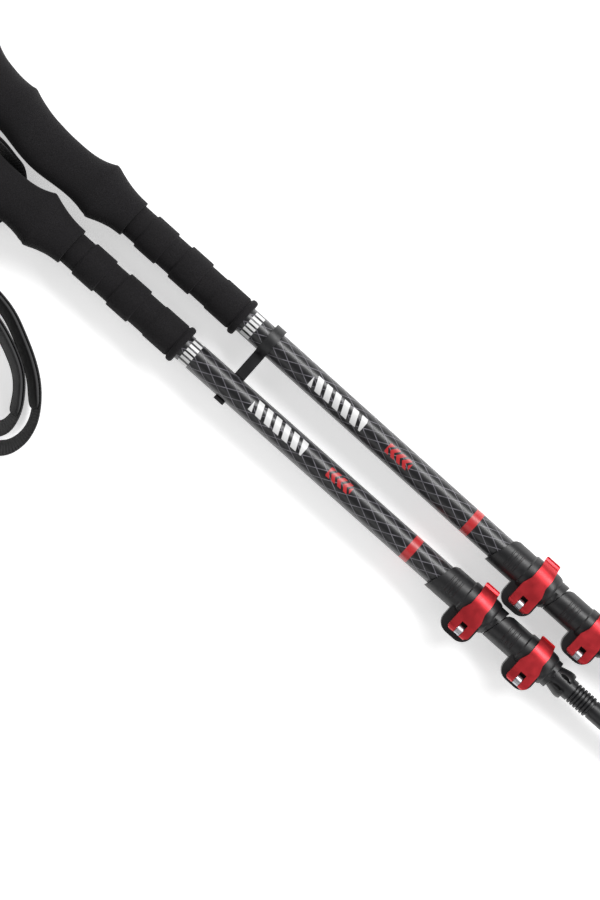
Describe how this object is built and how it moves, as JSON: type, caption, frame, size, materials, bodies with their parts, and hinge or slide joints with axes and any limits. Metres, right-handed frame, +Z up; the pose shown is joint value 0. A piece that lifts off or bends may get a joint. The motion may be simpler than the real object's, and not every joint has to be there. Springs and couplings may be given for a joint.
{
  "type": "trekking pole pair",
  "caption": "Pair of collapsed three-section carbon trekking poles with foam grips, padded wrist straps and red folding-lever clamps, joined by a clip.",
  "frame": {"origin": "centre of the pair's box in X and Y, on the surface the poles lie on", "axes": "+X along pole A from the handles to the tips, +Y from pole A towards pole B, +Z up from the surface"},
  "size_m": [0.6185, 0.1982, 0.032],
  "materials": {
    "foam": "matte fine-grained closed-cell foam",
    "webbing": "cross-ribbed woven webbing",
    "pad": "smooth padded band with stitched edges",
    "plug": "moulded, satin",
    "carbon": "clear-coated wound carbon with a fine diamond lattice",
    "clamp": "moulded nylon, satin",
    "lever": "red anodised, satin",
    "steel": "bright turned stainless steel",
    "nut": "black anodised, knurled",
    "bushing": "turned acetal",
    "tip": "moulded, satin",
    "carbide": "ground carbide",
    "clip": "moulded, satin"
  },
  "bodies": {
    "pole_b": {"b_grip": "foam", "b_grip_extension": "foam", "b_grip_plug": "plug", "b_strap_pin": "steel", "b_strap": "webbing", "b_strap_pad": "pad", "b_upper_tube": "carbon", "b_upper_clamp": "clamp", "b_upper_cam_plate": "steel", "b_upper_eye_bolt": "steel"},
    "clip": {"pole_clip": "clip"},
    "pole_a": {"a_grip": "foam", "a_grip_extension": "foam", "a_grip_plug": "plug", "a_strap_pin": "steel", "a_strap": "webbing", "a_strap_pad": "pad", "a_upper_tube": "carbon", "a_upper_clamp": "clamp", "a_upper_cam_plate": "steel", "a_upper_eye_bolt": "steel"},
    "a_upper_lever_body": {"a_upper_lever": "lever", "a_upper_lever_pin": "steel"},
    "a_upper_nut_body": {"a_upper_nut": "nut"},
    "a_middle_section": {"a_middle_tube": "carbon", "a_middle_bushing": "bushing", "a_lower_clamp": "clamp", "a_lower_cam_plate": "steel", "a_lower_eye_bolt": "steel"},
    "a_lower_lever_body": {"a_lower_lever": "lever", "a_lower_lever_pin": "steel"},
    "a_lower_nut_body": {"a_lower_nut": "nut"},
    "a_lower_section": {"a_lower_tube": "carbon", "a_lower_bushing": "bushing", "a_ferrule": "tip", "a_tip_holder": "tip", "a_carbide_tip": "carbide"},
    "b_upper_lever_body": {"b_upper_lever": "lever", "b_upper_lever_pin": "steel"},
    "b_upper_nut_body": {"b_upper_nut": "nut"},
    "b_middle_section": {"b_middle_tube": "carbon", "b_middle_bushing": "bushing", "b_lower_clamp": "clamp", "b_lower_cam_plate": "steel", "b_lower_eye_bolt": "steel"},
    "b_lower_lever_body": {"b_lower_lever": "lever", "b_lower_lever_pin": "steel"},
    "b_lower_nut_body": {"b_lower_nut": "nut"},
    "b_lower_section": {"b_lower_tube": "carbon", "b_lower_bushing": "bushing", "b_ferrule": "tip", "b_tip_holder": "tip", "b_carbide_tip": "carbide"}
  },
  "joints": [
    {"name": "clip_lift", "type": "slide", "parent": "pole_b", "child": "clip", "axis": [0, 0, 1], "range_m": [0, 0.06]},
    {"name": "pole_a_lift", "type": "slide", "parent": "clip", "child": "pole_a", "axis": [0, 0, 1], "range_m": [0, 0.06]},
    {"name": "a_middle_slide", "type": "slide", "parent": "pole_a", "child": "a_middle_section", "axis": [1, 0, 0], "range_m": [0, 0.33]},
    {"name": "a_lower_slide", "type": "slide", "parent": "a_middle_section", "child": "a_lower_section", "axis": [1, 0, 0], "range_m": [0, 0.34]},
    {"name": "a_upper_lever_hinge", "type": "hinge", "parent": "pole_a", "child": "a_upper_lever_body", "pos_m": [0.1307, 0.0181, 0.0256], "axis": [1, 0, 0], "range_deg": [0, 110]},
    {"name": "a_lower_lever_hinge", "type": "hinge", "parent": "a_middle_section", "child": "a_lower_lever_body", "pos_m": [0.1734, 0.0188, 0.0256], "axis": [1, 0, 0], "range_deg": [0, 110]},
    {"name": "a_upper_nut_turn", "type": "hinge", "parent": "pole_a", "child": "a_upper_nut_body", "pos_m": [0.1307, 0.0181, 0.016], "axis": [0, 0, 1], "continuous": true},
    {"name": "a_lower_nut_turn", "type": "hinge", "parent": "a_middle_section", "child": "a_lower_nut_body", "pos_m": [0.1734, 0.0188, 0.016], "axis": [0, 0, 1], "continuous": true},
    {"name": "b_middle_slide", "type": "slide", "parent": "pole_b", "child": "b_middle_section", "axis": [1, -0.0052, 0], "range_m": [0, 0.33]},
    {"name": "b_lower_slide", "type": "slide", "parent": "b_middle_section", "child": "b_lower_section", "axis": [1, -0.0052, 0], "range_m": [0, 0.34]},
    {"name": "b_upper_lever_hinge", "type": "hinge", "parent": "pole_b", "child": "b_upper_lever_body", "pos_m": [0.14621, 0.05095, 0.0256], "axis": [1, -0.0052, 0], "range_deg": [0, 110]},
    {"name": "b_lower_lever_hinge", "type": "hinge", "parent": "b_middle_section", "child": "b_lower_lever_body", "pos_m": [0.18892, 0.05143, 0.0256], "axis": [1, -0.0052, 0], "range_deg": [0, 110]},
    {"name": "b_upper_nut_turn", "type": "hinge", "parent": "pole_b", "child": "b_upper_nut_body", "pos_m": [0.14621, 0.05095, 0.016], "axis": [0, 0, 1], "continuous": true},
    {"name": "b_lower_nut_turn", "type": "hinge", "parent": "b_middle_section", "child": "b_lower_nut_body", "pos_m": [0.18892, 0.05143, 0.016], "axis": [0, 0, 1], "continuous": true}
  ]
}
